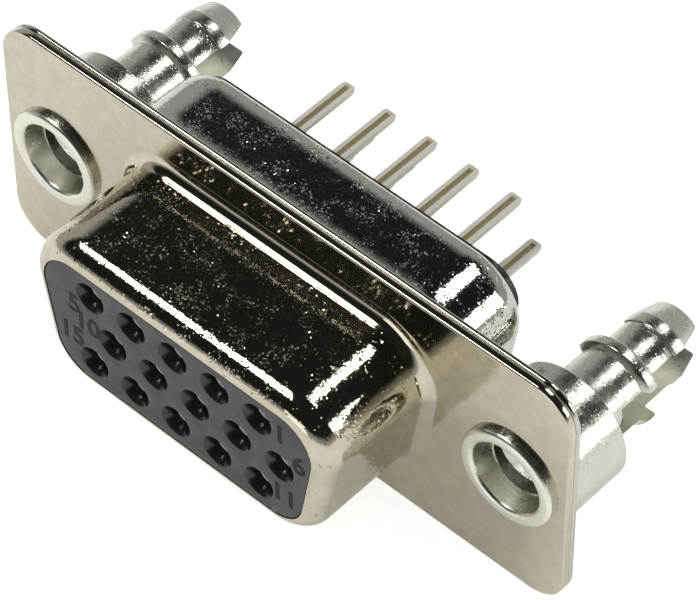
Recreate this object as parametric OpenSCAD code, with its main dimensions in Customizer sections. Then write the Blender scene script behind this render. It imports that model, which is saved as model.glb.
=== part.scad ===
// Fifteen-way, three-row receptacle connector with a D-shaped metal shroud.
// It stands upright on its board and is held by two turned board locks, which are riveted
// through its flange and carry the threads for the jack screws of the mating plug.
//
// The part's frame: -Y is the way the plug leaves, +Y points to the board, and +Z is the wide
// side of the D, with contacts 1 to 5.  The origin is midway between the two jack screws,
// on the front face of the flange.
// The pieces are drawn in a working frame, +Z towards the plug, which stand_up() turns into
// the part's own.  Heights in it are counted from the front face of the flange.

/* [Flange] */
// Length of the flange
flange_w = 30.81; // [30.4:0.01:32]
// Height of the flange
flange_h = 12.55; // [12.4:0.01:13.5]
// Corner radius of the flange
flange_r = 1.8; // [1:0.1:3]
// Distance between the two board locks
lock_pitch = 24.99; // [24.9:0.01:25.3]

/* [Front shell] */
// Thickness of the front shell's sheet
front_t = 0.4; // [0.36:0.02:0.44]
// Width of the shroud, half way up the D
shroud_w = 15.82; // [15.6:0.01:16]
// Height of the shroud's D
shroud_h = 7.98; // [7.9:0.01:8.1]
// Corner radius of the shroud
shroud_r = 2.5; // [2.2:0.1:2.8]
// How far the shroud stands out of the flange
shroud_depth = 5.85; // [5.2:0.05:6.5]
// Radius of the bend between flange and shroud
shroud_bend = 1.0; // [0.5:0.1:1.3]
// Inner radius of the bend between wall and lip
lip_bend = 0.6; // [0.5:0.05:0.7]
// Width of the lip that is turned in over the face
lip_w = 0.8; // [0.76:0.02:0.86]

/* [Rear shell] */
// Thickness of the rear shell's sheet
rear_t = 0.27; // [0.2:0.01:0.3]
// Width of the hump, half way up the D
hump_w = 17.82; // [17.6:0.01:18.4]
// Height of the hump's D
hump_h = 10.72; // [10.4:0.01:10.8]
// Corner radius of the hump
hump_r = 2.35; // [2.2:0.05:2.8]
// Distance from the flange's front face to the hump's rim
hump_depth = 4.43; // [4.1:0.01:4.5]
// Radius of the bend between flange and hump
hump_bend = 0.2; // [0.1:0.05:0.25]
// Outer radius of the bend of the hump's rim
rim_r = 0.7; // [0.5:0.02:0.74]
// Width of the rim that is turned in behind the insulator
rim_w = 0.78; // [0.78:0.02:0.9]

/* [Insulators] */
// Slope of the short sides of every D
side_angle = 10; // [8:0.5:12]
// Depth of the insulator's face behind the front of the shroud
face_drop = 0.06; // [0:0.02:0.2]
// Distance from the flange's front face to the board
board_y = 4.88; // [4.6:0.01:5]
// Diameter of a contact hole's mouth
mouth_d = 1.5; // [1.3:0.05:1.6]
// Diameter of a contact hole below its mouth
entry_d = 0.95; // [0.9:0.05:1]

/* [Contacts] */
// Distance between neighbours in a row
contact_pitch = 2.29; // [2.25:0.01:2.35]
// Distance between rows
row_pitch = 1.98; // [1.9:0.01:2.05]
// Distance of the middle contact of row 1 from the part's middle
row_shift = -0.14; // [-0.2:0.01:0]
// Bore of the socket, for a 0.76 mm pin
socket_bore = 0.8; // [0.78:0.01:0.84]
// Outer diameter of the socket
socket_d = 1.24; // [1.18:0.02:1.3]
// Width of the tail's channel
tail_w = 0.66; // [0.6:0.02:0.7]
// Depth of the tail's channel
tail_h = 0.5; // [0.44:0.02:0.54]
// Sheet thickness of a contact
tail_t = 0.2; // [0.16:0.01:0.22]
// Distance from the flange's front face to the tip of a tail
tail_end = 9.55; // [8:0.05:12]

/* [Board locks] */
// Diameter of the tube in the flange's holes
tube_d = 4.0; // [3.9:0.02:4.1]
// Diameter of the rim rolled over the flange
eyelet_d = 4.7; // [4.5:0.05:4.8]
// Diameter of the bore where the rolled rim ends
eyelet_bore = 3.44; // [3.2:0.02:3.5]
// Major diameter of the jack screw's thread
thread_d = 2.84; // [2.5:0.02:3]
// Diameter of the collar
collar_d = 5.6; // [5.2:0.05:5.6]
// Distance from the flange's front face to the rear of the collar
collar_end = 3.76; // [3:0.02:4]
// Diameter of the shank in the board
shank_d = 3.54; // [3.3:0.02:3.6]
// Diameter of the ring that grips behind the board
ring_d = 4.1; // [3.8:0.05:4.3]
// Diameter of the prongs behind the ring
prong_d = 3.04; // [2.8:0.02:3.2]
// Diameter of the head on the prongs
head_d = 3.2; // [3.1:0.02:3.4]
// Width of the slot between the prongs
slot_w = 1.75; // [1.4:0.05:1.9]
// Distance from the flange's front face to the root of the slot
slot_root = 4.2; // [4:0.05:4.6]
// Distance from the flange's front face to the end of the prongs
lock_end = 10.15; // [9.6:0.05:10.5]

/* [Hidden] */
$fn = 48;

// Steps in the arc of a D's corner, and in the arc of a bend
corner_steps = 10;
bend_steps = 6;

// Room that cuts run past the faces they open
past = 0.5;
// Gap between pieces that slide into each other
slip = 0.03;
// Flat part of a drawn sheet that lies in the flange
seam = 0.2;

// Each D is [width, height, corner radius]
SHROUD = [shroud_w, shroud_h, shroud_r];
HUMP = [hump_w, hump_h, hump_r];

// Outer radius of the lip's bend, and how far each face of the sheet turns before the lip ends
lip_r = lip_bend + front_t;
lip_turn = acos((lip_r - lip_w) / lip_r);
lip_turn_in = acos((lip_r - lip_w) / lip_bend);

// Height under the lip's bend at a distance in from the shroud's outline, less the slip
function under_lip(inset) =
  shroud_depth - lip_r + sqrt(pow(lip_bend - slip, 2) - pow(lip_r - inset, 2));

// Steps of the insulator's rounded shoulder under the lip
shoulder_steps = 3;

// Back faces of the two sheets of the flange
front_back = -front_t;
rear_back = front_back - rear_t;

// Room in the locks' holes round the tubes
lock_hole_d = tube_d + 0.04;

// Places of the contacts, numbered from 1: row 1 and row 3 in line, row 2 half a pitch aside
ROW_1 = [for (i = [0:4]) [row_shift + (2 - i) * contact_pitch, row_pitch]];
ROW_2 = [for (i = [0:4]) [row_shift + (2.5 - i) * contact_pitch, 0]];
ROW_3 = [for (i = [0:4]) [row_shift + (2 - i) * contact_pitch, -row_pitch]];
PLACES = concat(ROW_1, ROW_2, ROW_3);

// Face of the insulators, the plane where they meet, and the board
face_z = shroud_depth - face_drop;
joint_z = -2.2;
seat_z = -board_y;
mouth_depth = 0.45;

// Contact: mouth of the socket, shoulder, slot between the tines, and tip of the tail
socket_z = face_z - 0.55;
shoulder_t = 0.5;
shoulder_d = 1.5;
tine_l = 4;
tine_gap = 0.2;
tail_z = -tail_end;
// Open side of the channel above the middle of its contact, and slope of the cut that makes
// its tip a prow
tail_y = 0.45;
tip_angle = 30;

// Board lock: roll of its rim, lead-in and end of the thread, edges, ring, head and tip
curl_r = 0.25;
curl_z = 0.12;
funnel_d = 3.04;
thread_start = 0.65;
bore_end = 5.6;
edge = 0.12;
ring_start = 6.05;
ring_end = 6.75;
head_start = 8.35;
head_l = 0.65;
tip_d = 2.66;

module stand_up() {
  rotate([90, 0, 0]) children();
}

// ---- D outlines and sections swept round them ----

// Distance of a corner arc's centre from the middle plane, at height y of the D
function corner_x(size, y) = size[0] / 2 - size[2] / cos(side_angle) + y * tan(side_angle);

// The same D, grown outwards by a distance
function grown(size, by) = [size[0] + 2 * by / cos(side_angle), size[1] + 2 * by, size[2] + by];

// The four corners of a D, anticlockwise: centre of the arc, where it starts, how far it turns
function corners(size) = let (y = size[1] / 2 - size[2], top = corner_x(size, y), foot = corner_x(size, -y)) [
  [[top, y], -side_angle, 90 + side_angle],
  [[-top, y], 90, 90 + side_angle],
  [[-foot, -y], 180 + side_angle, 90 - side_angle],
  [[foot, -y], 270, 90 - side_angle]
];

// Points of the D, with each corner's arc in steps
function d_points(size) = [
  for (corner = corners(size), k = [0:corner_steps])
    let (a = corner[1] + corner[2] * k / corner_steps) corner[0] + size[2] * [cos(a), sin(a)]
];

// Points of an arc in a section, from one angle to another
function arc(centre, r, from, to) = [
  for (k = [0:bend_steps]) let (a = from + (to - from) * k / bend_steps) centre + r * [cos(a), sin(a)]
];

// Plate of the D's outline between two heights
module d_plate(size, low, high) {
  translate([0, 0, low]) linear_extrude(high - low) polygon(d_points(size));
}

// Sheet bent to a section and drawn round the D.  The section is a closed line of points:
// the distance out of the D, then the height.
module drawn_sheet(size, section) {
  ring = 4 * (corner_steps + 1);
  count = len(section);
  points = [for (p = section, q = d_points(grown(size, p[0]))) [q[0], q[1], p[1]]];
  faces = [
    for (i = [0:count - 1], j = [0:ring - 1]) let (i2 = (i + 1) % count, j2 = (j + 1) % ring)
      [i * ring + j, i2 * ring + j, i2 * ring + j2, i * ring + j2]
  ];
  polyhedron(points, faces);
}

// ---- Shells ----

module flange_outline() {
  across = flange_w / 2 - flange_r;
  up = flange_h / 2 - flange_r;
  square([flange_w, 2 * up], center = true);
  square([2 * across, flange_h], center = true);
  for (x = [-across, across], y = [-up, up]) translate([x, y]) circle(flange_r);
}

// One sheet of the flange, cut out for its drawn D and for the tubes of the locks
module flange_sheet(low, high, opening) {
  difference() {
    translate([0, 0, low]) linear_extrude(high - low) difference() {
      flange_outline();
      polygon(d_points(opening));
    }
    for (side = [-1, 1])
      translate([side * lock_pitch / 2, 0, low - past])
        cylinder(d = lock_hole_d, h = high - low + 2 * past);
  }
}

// Wall drawn out of the flange, with a lip turned in over the insulator's face
module front_shell() color("#c9c3b0") stand_up() {
  bend = [shroud_bend, shroud_bend];
  lip = [-lip_r, shroud_depth - lip_r];
  flange_sheet(front_back, 0, grown(SHROUD, shroud_bend + seam / 2));
  drawn_sheet(SHROUD, concat(
    [[shroud_bend + seam, front_back], [shroud_bend + seam, 0]],
    arc(bend, shroud_bend, -90, -180),
    arc(lip, lip_r, 0, lip_turn),
    arc(lip, lip_bend, lip_turn_in, 0),
    arc(bend, shroud_bend + front_t, 180, 270)
  ));
}

// Wall drawn out of the flange, with a rim turned in behind the insulator
module rear_shell() color("#b4b8bc") stand_up() {
  bend = [hump_bend, rear_back - hump_bend];
  rim = [-rim_r, rim_r - hump_depth];
  flange_sheet(rear_back, front_back, grown(HUMP, hump_bend + seam / 2));
  drawn_sheet(HUMP, concat(
    [[hump_bend + seam, rear_back], [hump_bend + seam, front_back]],
    arc(bend, hump_bend + rear_t, 90, 180),
    arc(rim, rim_r - rear_t, 0, -90),
    [[-rim_w, rear_t - hump_depth], [-rim_w, -hump_depth]],
    arc(rim, rim_r, -90, 0),
    arc(bend, hump_bend, 180, 90)
  ));
}

// ---- Insulators ----

// Cavity of one contact in the front insulator: countersunk mouth, entry, room for the socket
module front_cavity() {
  rotate_extrude() polygon([
    [0, face_z + past], [mouth_d / 2, face_z + past], [mouth_d / 2, face_z],
    [entry_d / 2, face_z - mouth_depth], [entry_d / 2, socket_z],
    [socket_d / 2 + slip, socket_z], [socket_d / 2 + slip, joint_z - past], [0, joint_z - past]
  ]);
}

// Boss in the shroud, its shoulder rounded to pass under the lip, on a base that fills the hump
module front_insulator() color("#4c4c4e") stand_up() difference() {
  boss_in = front_t + slip;
  face_in = lip_w + slip;
  union() {
    d_plate(grown(HUMP, -rear_t - slip), joint_z, front_back);
    for (k = [0:shoulder_steps - 1])
      let (inset = boss_in + (face_in - boss_in) * k / shoulder_steps)
        d_plate(grown(SHROUD, -inset), joint_z, under_lip(inset));
    d_plate(grown(SHROUD, -face_in), joint_z, face_z);
  }
  for (place = PLACES) translate(place) front_cavity();
}

// Cavity of one contact in the rear insulator: seat of the shoulder, slot of the tail
module rear_cavity() {
  translate([0, 0, joint_z - shoulder_t]) cylinder(d = shoulder_d + 2 * slip, h = shoulder_t + past);
  translate([0, tail_y + slip, seat_z - past]) linear_extrude(joint_z - seat_z)
    tail_outline(tail_w + 2 * slip, tail_h + 2 * slip);
}

// Block in the hump, stepped to pass through its rim and stand on the board
module rear_insulator() color("#232325") stand_up() difference() {
  union() {
    d_plate(grown(HUMP, -rear_t - slip), rim_r - hump_depth, joint_z);
    d_plate(grown(HUMP, -rim_r), rear_t - hump_depth, joint_z);
    d_plate(grown(HUMP, -rim_w - slip), seat_z, joint_z);
  }
  for (place = PLACES) translate(place) rear_cavity();
}

// ---- Contacts ----

// Outline of a channel with a half-round floor and its open side up, at y = 0
module tail_outline(w, h) {
  translate([0, w / 2 - h]) circle(d = w);
  translate([-w / 2, w / 2 - h]) square([w, h - w / 2]);
}

// Socket with two tines, and the shoulder that the insulators hold
module socket() {
  difference() {
    union() {
      translate([0, 0, joint_z]) cylinder(d = socket_d, h = socket_z - joint_z);
      translate([0, 0, joint_z - shoulder_t]) cylinder(d = shoulder_d, h = shoulder_t);
    }
    translate([0, 0, joint_z]) cylinder(d = socket_bore, h = socket_z - joint_z + past);
    translate([-socket_d, -tine_gap / 2, socket_z - tine_l]) cube([2 * socket_d, tine_gap, tine_l + past]);
  }
}

// Channel of the solder tail, its floor cut back under the walls' points at the tip
module tail() {
  length = joint_z - shoulder_t - tail_z;
  translate([0, tail_y, tail_z]) difference() {
    linear_extrude(length) difference() {
      tail_outline(tail_w, tail_h);
      translate([0, tail_t]) tail_outline(tail_w - 2 * tail_t, tail_h);
    }
    rotate([-tip_angle, 0, 0])
      translate([-tail_w, -2 * tail_h, -tail_h]) cube([2 * tail_w, 3 * tail_h, tail_h]);
  }
}

module contact(number) color("#cdcdc3") stand_up() translate(PLACES[number - 1]) {
  socket();
  tail();
}

// ---- Board locks ----

// Half section of the turned piece: out of its bore, over the rolled rim and down the outside.
// Each point is a distance from the axis and a height.
function boardlock_section() = concat(
  [[0, -bore_end - thread_d / 8], [thread_d / 2, -bore_end], [thread_d / 2, -thread_start],
    [funnel_d / 2, -thread_start]],
  arc([eyelet_bore / 2 + curl_r, curl_z], curl_r, 180, 90),
  arc([eyelet_d / 2 - curl_r, curl_z], curl_r, 90, 0),
  [[eyelet_d / 2, 0], [tube_d / 2, 0], [tube_d / 2, rear_back],
    [collar_d / 2 - edge, rear_back], [collar_d / 2, rear_back - edge],
    [collar_d / 2, edge - collar_end], [collar_d / 2 - edge, -collar_end], [shank_d / 2, -collar_end],
    [shank_d / 2, -ring_start], [ring_d / 2, -ring_start - 2 * edge],
    [ring_d / 2, edge - ring_end], [ring_d / 2 - edge, -ring_end], [prong_d / 2, -ring_end],
    [prong_d / 2, -head_start], [head_d / 2, -head_start], [head_d / 2, -head_start - head_l],
    [tip_d / 2, -lock_end], [0, -lock_end]]
);

module boardlock(side) {
  color("#d6d9da") stand_up() translate([side * lock_pitch / 2, 0, 0]) difference() {
    rotate_extrude() polygon(boardlock_section());
    translate([-ring_d, -slot_w / 2, -lock_end - past]) cube([2 * ring_d, slot_w, lock_end + past - slot_root]);
  }
}

module boardlock_left() boardlock(-1);
module boardlock_right() boardlock(1);

front_shell();
rear_shell();
front_insulator();
rear_insulator();
contact(1);  // contact_01
contact(2);  // contact_02
contact(3);  // contact_03
contact(4);  // contact_04
contact(5);  // contact_05
contact(6);  // contact_06
contact(7);  // contact_07
contact(8);  // contact_08
contact(9);  // contact_09
contact(10);  // contact_10
contact(11);  // contact_11
contact(12);  // contact_12
contact(13);  // contact_13
contact(14);  // contact_14
contact(15);  // contact_15
boardlock_left();
boardlock_right();
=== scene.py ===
"""Looks of a fifteen-way D-sub connector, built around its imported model.

Every piece is in metres in the model's frame: -Y is the way the mating plug leaves, +Y points
to the board, +Z is the wide side of the D, and the origin lies on the flange's front face.
"""

import math

import bmesh
import bpy
from bpy.props import (
    FloatProperty,
    FloatVectorProperty,
    IntProperty,
    PointerProperty,
    StringProperty,
)
from mathutils import Matrix, Vector


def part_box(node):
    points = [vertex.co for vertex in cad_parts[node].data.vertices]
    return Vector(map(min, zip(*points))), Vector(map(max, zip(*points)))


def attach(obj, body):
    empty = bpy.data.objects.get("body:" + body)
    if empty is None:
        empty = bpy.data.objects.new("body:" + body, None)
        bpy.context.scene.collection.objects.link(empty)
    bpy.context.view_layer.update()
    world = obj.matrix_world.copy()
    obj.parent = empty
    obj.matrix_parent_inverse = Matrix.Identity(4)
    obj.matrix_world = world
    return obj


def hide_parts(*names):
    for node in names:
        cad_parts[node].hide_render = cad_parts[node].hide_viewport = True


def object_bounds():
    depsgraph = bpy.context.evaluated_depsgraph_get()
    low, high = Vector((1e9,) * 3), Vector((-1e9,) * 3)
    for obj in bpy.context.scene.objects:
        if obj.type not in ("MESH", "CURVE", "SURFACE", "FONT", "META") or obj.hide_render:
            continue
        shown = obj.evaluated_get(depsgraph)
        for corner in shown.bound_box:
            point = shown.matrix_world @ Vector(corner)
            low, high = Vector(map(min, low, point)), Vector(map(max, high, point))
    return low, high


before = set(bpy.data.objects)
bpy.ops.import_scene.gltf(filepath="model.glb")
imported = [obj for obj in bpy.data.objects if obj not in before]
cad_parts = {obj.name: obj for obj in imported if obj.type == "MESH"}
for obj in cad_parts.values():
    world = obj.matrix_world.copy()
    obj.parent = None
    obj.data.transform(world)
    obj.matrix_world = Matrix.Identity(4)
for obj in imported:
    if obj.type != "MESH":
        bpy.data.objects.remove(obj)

bl_info = {
    "name": "D-sub connector",
    "version": (1, 0, 0),
    "blender": (4, 5, 0),
    "location": "View3D > Sidebar > Connector",
    "description": "Builds the shells, insulators, contacts and board locks of a D-sub connector",
    "category": "Object",
}

MM = 0.001
CAD_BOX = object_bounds()

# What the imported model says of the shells, the front insulator, the locks and the contacts
FRONT_LOW, FRONT_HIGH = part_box("front_shell")
REAR_LOW, REAR_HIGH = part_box("rear_shell")
FACE_LOW, FACE_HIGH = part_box("front_insulator")
LOCK_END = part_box("boardlock_right")[1].y
CONTACTS = sorted(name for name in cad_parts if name.startswith("contact_"))
LOCKS = ["boardlock_left", "boardlock_right"]

# Contacts that have their number beside them, and how far aside and up in millimetres
FIGURES = {
    1: (1.21, 0.03), 5: (-0.97, -1.07),
    6: (1.05, 0.88), 10: (-1.41, 0.14),
    11: (1.36, 0.28), 15: (-1.21, 0.92),
}

# Height of a figure as a share of the font's size
FIGURE_SHARE = 0.7

# Faces across a broken edge, a rounder edge and a small bend, and round a tube and a lock hole
EDGE_STEPS, ROUND_STEPS, CURL_STEPS, TUBE_STEPS, LOCK_HOLE_STEPS = 3, 4, 6, 32, 64

# Angle in degrees between faces above which a small part's edge stays crisp
CRISP = 32.0

# Sockets of a Mix node that mixes colours, whose names repeat
MIX_FIRST, MIX_SECOND, MIX_RESULT = 6, 7, 2

# The room that the plating mirrors: how bright its pale walls and dark ceiling are, how much
# higher the walls reach on one side, and the way to that side
WALL, CEILING = 0.45, 0.014
WALL_RISE = 0.45
PALE_SIDE = (-0.5, 0.87, 0.0)

# Plain light on all that doesn't mirror
FILL = 0.6
WHITE = (1.0, 1.0, 1.0, 1.0)

# Lamps: azimuth and elevation in degrees, width and height in metres, and brightness
LAMPS = {
    "softbox_left": (-72, 62, (0.12, 0.065), 9.0),
    "softbox_rear": (168, 58, (0.085, 0.06), 7.0),
    "softbox_right": (123, 17, (0.07, 0.11), 5.5),
    "card_in_front": (-2, 6, (0.18, 0.11), 1.3),
}

# How far off the lamps stand and how far the floor reaches, in metres
LAMP_DISTANCE, FLOOR_REACH = 0.3, 3.0


def centre_of(node):
    """Middle of a node's box."""
    low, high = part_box(node)
    return (low + high) / 2


# ---- Sizes and colours ----


def length(name, default, about):
    """A size in metres, from a default in millimetres."""
    return FloatProperty(
        name=name, description=about, default=default * MM, min=0.0, unit="LENGTH", precision=5
    )


def paint(name, default, about):
    """An sRGB colour, written as a hex value."""
    return StringProperty(name=name, description=about, default=default, maxlen=7)


class ShellSizes(bpy.types.PropertyGroup):
    shroud_w: length("Shroud width", 15.82, "Width of the shroud, half way up the D")
    shroud_h: length("Shroud height", 7.98, "Height of the shroud's D")
    shroud_r: length("Shroud corner", 2.5, "Corner radius of the shroud")
    shroud_bend: length("Shroud bend", 0.6, "Radius of the bend between flange and shroud")
    lip_bend: length("Lip bend", 1.0, "Outer radius of the bend between wall and lip")
    lip_w: length("Lip width", 0.8, "Width of the lip that is turned in over the face")
    rear_sheet: length("Rear sheet", 0.27, "Thickness of the rear shell's sheet")
    hump_w: length("Hump width", 17.82, "Width of the hump, half way up the D")
    hump_h: length("Hump height", 10.72, "Height of the hump's D")
    hump_r: length("Hump corner", 2.75, "Corner radius of the hump")
    hump_bend: length("Hump bend", 0.28, "Radius of the bend between flange and hump")
    rim_bend: length("Rim bend", 0.4, "Outer radius of the bend of the hump's rim")
    draw_in: length("Draw", 1.0, "Reach of both bends along the hump, which leaves its walls full")
    rim_back: length("Rim back", 0.04, "How far the sprung rim stands back of its nominal plane")
    rim_w: length("Rim width", 0.78, "Width of the rim that is turned in behind the insulator")
    flange_r: length("Flange corner", 1.8, "Corner radius of the flange")
    lock_hole_d: length("Lock hole", 4.04, "Diameter of the flange's holes for the locks")
    edge_r: length("Edge", 0.1, "Rounding of the flange's punched edges")
    side_angle: FloatProperty(
        name="Side slope", description="Slope of the short sides of every D",
        default=math.radians(10), subtype="ANGLE",
    )
    corner_steps: IntProperty(
        name="Corner steps", description="Faces in each corner of a D", default=28, min=4
    )
    bend_steps: IntProperty(
        name="Bend steps", description="Faces across each bend", default=14, min=3
    )


class InsulatorSizes(bpy.types.PropertyGroup):
    mouth_d: length("Mouth", 1.5, "Diameter of a contact hole's mouth")
    entry_d: length("Entry", 0.95, "Diameter of a contact hole below its mouth")
    mouth_depth: length("Mouth depth", 0.54, "Depth of the countersunk mouth")
    room_start: length("Room start", 0.62, "Depth at which the room for the socket starts")
    room_d: length("Room", 1.3, "Diameter of the room for the socket")
    edge_r: length("Edge", 0.05, "Rounding of the moulding's edges")
    slip: length("Slip", 0.03, "Gap between the insulator and the lip round it")
    figure_h: length("Figure height", 1.0, "Height of the moulded contact numbers")
    figure_t: length("Figure relief", 0.012, "How far the moulded numbers stand out")
    figure_stroke: length("Figure stroke", 0.03, "How much the figures' strokes are thickened")
    hole_steps: IntProperty(
        name="Hole steps", description="Faces round each contact hole", default=48, min=12
    )


class ContactSizes(bpy.types.PropertyGroup):
    socket_d: length("Socket", 1.24, "Outer diameter of the socket")
    bore: length("Socket bore", 0.8, "Bore of the socket, for a 0.76 mm pin")
    tine_l: length("Tines", 4.0, "Length of the slot between the tines")
    tine_gap: length("Tine gap", 0.2, "Width of the slot between the tines")
    shoulder_d: length("Shoulder", 1.5, "Diameter of the shoulder")
    shoulder_t: length("Shoulder length", 0.5, "Length of the shoulder")
    tail_w: length("Tail width", 0.66, "Width of the tail's channel")
    tail_h: length("Tail height", 0.5, "Depth of the tail's channel")
    tail_top: length("Tail top", 0.45, "Height of the channel's open side over the contact's axis")
    strip: length("Strip", 0.2, "Thickness of the strip")
    prow: length("Prow", 0.28, "Length of the rounded end that closes the channel")


class LockSizes(bpy.types.PropertyGroup):
    tube_d: length("Tube", 4.0, "Diameter of the tube in the flange's holes")
    rim_d: length("Rim", 4.7, "Diameter of the rim rolled over the flange")
    rim_bore: length("Rim bore", 3.44, "Diameter of the bore where the rolled rim ends")
    rim_top: length("Rim height", 0.37, "How far the rolled rim stands out of the flange")
    curl_r: length("Curl", 0.2, "Radius of the rolled rim's edges")
    throat_d: length("Throat", 3.04, "Diameter of the lead-in above the thread")
    thread_d: length("Thread", 2.84, "Major diameter of the jack screw's thread")
    thread_pitch: length("Thread pitch", 0.635, "Distance between turns of the thread")
    thread_depth: length("Thread depth", 0.3, "Height of the thread's ridge")
    thread_start: length("Thread start", 0.65, "Depth of the thread's first turn")
    bore_end: length("Bore end", 5.6, "Depth of the tapped bore")
    collar_d: length("Collar", 5.6, "Diameter of the collar")
    collar_end: length("Collar end", 3.76, "Depth of the rear of the collar")
    shank_d: length("Shank", 3.54, "Diameter of the shank in the board")
    ring_d: length("Ring", 4.1, "Diameter of the ring that grips behind the board")
    ring_start: length("Ring start", 6.05, "Depth of the ring's front")
    ring_end: length("Ring end", 6.75, "Depth of the ring's rear")
    prong_d: length("Prongs", 3.04, "Diameter of the prongs behind the ring")
    head_d: length("Head", 3.2, "Diameter of the head on the prongs")
    head_start: length("Head start", 8.35, "Depth of the head's front")
    head_l: length("Head length", 0.65, "Length of the head before its taper")
    tip_d: length("Tip", 2.66, "Diameter of the taper's end")
    slot_w: length("Slot", 1.75, "Width of the slot between the prongs")
    slot_root: length("Slot root", 4.2, "Depth of the slot's root")
    edge_r: length("Edge", 0.06, "Width of the broken edges")
    turn_steps: IntProperty(
        name="Turning steps", description="Faces round the lock", default=96, min=24
    )


class Finishes(bpy.types.PropertyGroup):
    nickel: paint("Nickel", "#CDC7B4", "Bright nickel plating of the front shell")
    tin: paint("Tin", "#C9C8BF", "Bright tin plating of the rear shell")
    lock: paint("Lock plating", "#D6D6CC", "Bright tin plating of the turned locks")
    rim: paint("Rolled rim", "#EFEEE2", "Tin burnished by the tool that rolled the rims")
    contact: paint("Contact plating", "#D8D6CB", "Satin tin plating of the contacts")
    # Painted shade: the inside of a tail's fold is painted darker and warmer than the rest of the
    # contact
    trough: paint("Trough", "#CBC3A2", "Plating painted darker and warmer inside a folded tail, as painted shade")
    grey: paint("Grey plastic", "#363638", "Moulded front insulator")
    # Painted shade: the holes' plastic is painted darker than the face; the polished pins only make
    # it glossier
    holes: paint("Contact holes", "#1C1C1E", "Contact holes, moulded on polished pins, painted darker as shade")
    # Painted shade: the figures are painted near black, standing in for the shade in their moulded
    # strokes
    figures: paint("Figures", "#0C0C0D", "Moulded numbers, which look darker than the face")
    black: paint("Black plastic", "#2C2827", "Moulded rear insulator")


class StageSettings(bpy.types.PropertyGroup):
    azimuth: FloatProperty(
        name="Azimuth", description="Camera's turn round the connector",
        default=math.radians(42.994), subtype="ANGLE",
    )
    elevation: FloatProperty(
        name="Elevation", description="Camera's height above the horizon",
        default=math.radians(49.421), subtype="ANGLE",
    )
    roll: FloatProperty(
        name="Roll", description="Camera's roll", default=math.radians(-0.489), subtype="ANGLE"
    )
    distance: length("Distance", 171.2, "Distance of the camera along its own axis")
    aim: FloatVectorProperty(
        name="Aim", description="Aim point, sideways and up from the origin", size=2,
        default=(2.956 * MM, 0.41 * MM), unit="LENGTH", precision=5,
    )
    lens: FloatProperty(
        name="Lens", description="Focal length", default=218.41, unit="CAMERA", min=1.0
    )
    paper: paint("Paper", "#F4F4F2", "Floor and backdrop")


GROUPS = {
    "shells": ShellSizes,
    "insulators": InsulatorSizes,
    "contacts": ContactSizes,
    "locks": LockSizes,
    "finishes": Finishes,
    "stage": StageSettings,
}


def settings(group):
    """The values of one group of settings."""
    return getattr(bpy.context.scene, "connector_" + group)


# ---- Meshes ----


def d_outline(size, slope, grow, steps):
    """Points (x, z) round a D of width, height and corner radius, grown outwards by a distance."""
    width, height, radius = size
    half_w = width / 2 + grow / math.cos(slope)
    half_h = height / 2 + grow
    radius += grow
    up = half_h - radius
    wide = half_w - radius / math.cos(slope) + up * math.tan(slope)
    narrow = half_w - radius / math.cos(slope) - up * math.tan(slope)
    quarter = math.pi / 2
    corners = (
        (wide, up, -slope, quarter + slope),
        (-wide, up, quarter, quarter + slope),
        (-narrow, -up, math.pi + slope, quarter - slope),
        (narrow, -up, 3 * quarter, quarter - slope),
    )
    return [
        (x + radius * math.cos(angle), z + radius * math.sin(angle))
        for x, z, start, turn in corners
        for angle in (start + turn * k / steps for k in range(steps + 1))
    ]


def round_box(width, height, radius, grow, steps):
    """Points (x, z) round a rectangle with round corners, grown outwards by a distance."""
    return d_outline((width, height, radius), 0.0, grow, steps)


def circle(centre, radius, steps):
    """Points (x, z) round a circle."""
    turns = [2 * math.pi * k / steps for k in range(steps)]
    return [(centre.x + radius * math.cos(a), centre.z + radius * math.sin(a)) for a in turns]


def arc(centre, radius, start, end, steps, reach=None):
    """Points of an arc in a section; angles in degrees. With a reach of its own along the second
    axis it is part of an ellipse."""
    angles = [math.radians(start + (end - start) * k / steps) for k in range(steps + 1)]
    along = radius if reach is None else reach
    return [(centre[0] + radius * math.cos(a), centre[1] + along * math.sin(a)) for a in angles]


def ring(bm, outline, y):
    """A closed ring of vertices at one depth."""
    return [bm.verts.new((x, y, z)) for x, z in outline]


def skin(bm, first, second):
    """Faces between two rings of the same count."""
    count = len(first)
    for k in range(count):
        after = (k + 1) % count
        bm.faces.new((first[k], first[after], second[after], second[k]))


def skin_all(bm, rings):
    """Faces between each ring and the next."""
    for first, second in zip(rings, rings[1:]):
        skin(bm, first, second)


def edges_of(bm, rings):
    """The edges along closed rings, made where they don't exist yet."""
    found = []
    for loop in rings:
        for a, b in zip(loop, loop[1:] + loop[:1]):
            found.append(bm.edges.get((a, b)) or bm.edges.new((a, b)))
    return found


def cap(bm, rings):
    """A flat face inside the first ring, with the others as its holes."""
    bmesh.ops.triangle_fill(bm, use_beauty=True, use_dissolve=False, edges=edges_of(bm, rings))


def add_object(name, bm):
    """An object in the scene, with the mesh that a bmesh holds."""
    mesh = bpy.data.meshes.new(name)
    bm.to_mesh(mesh)
    bm.free()
    found = bpy.data.objects.new(name, mesh)
    bpy.context.scene.collection.objects.link(found)
    return found


def finish_piece(name, bm, material, replaced=(), sharp=40.0):
    """Makes a piece from a bmesh. Its curved faces are smooth, and edges stay crisp where the
    faces meet at more than an angle in degrees."""
    bmesh.ops.recalc_face_normals(bm, faces=bm.faces)
    piece = add_object(name, bm)
    piece.data.shade_smooth()
    piece.data.set_sharp_from_angle(angle=math.radians(sharp))
    piece.data.materials.append(material)
    normals = piece.modifiers.new("flat_faces_stay_flat", "WEIGHTED_NORMAL")
    normals.keep_sharp = True
    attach(piece, "root")
    if replaced:
        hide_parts(*replaced)
    return piece


# ---- Materials ----


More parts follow.
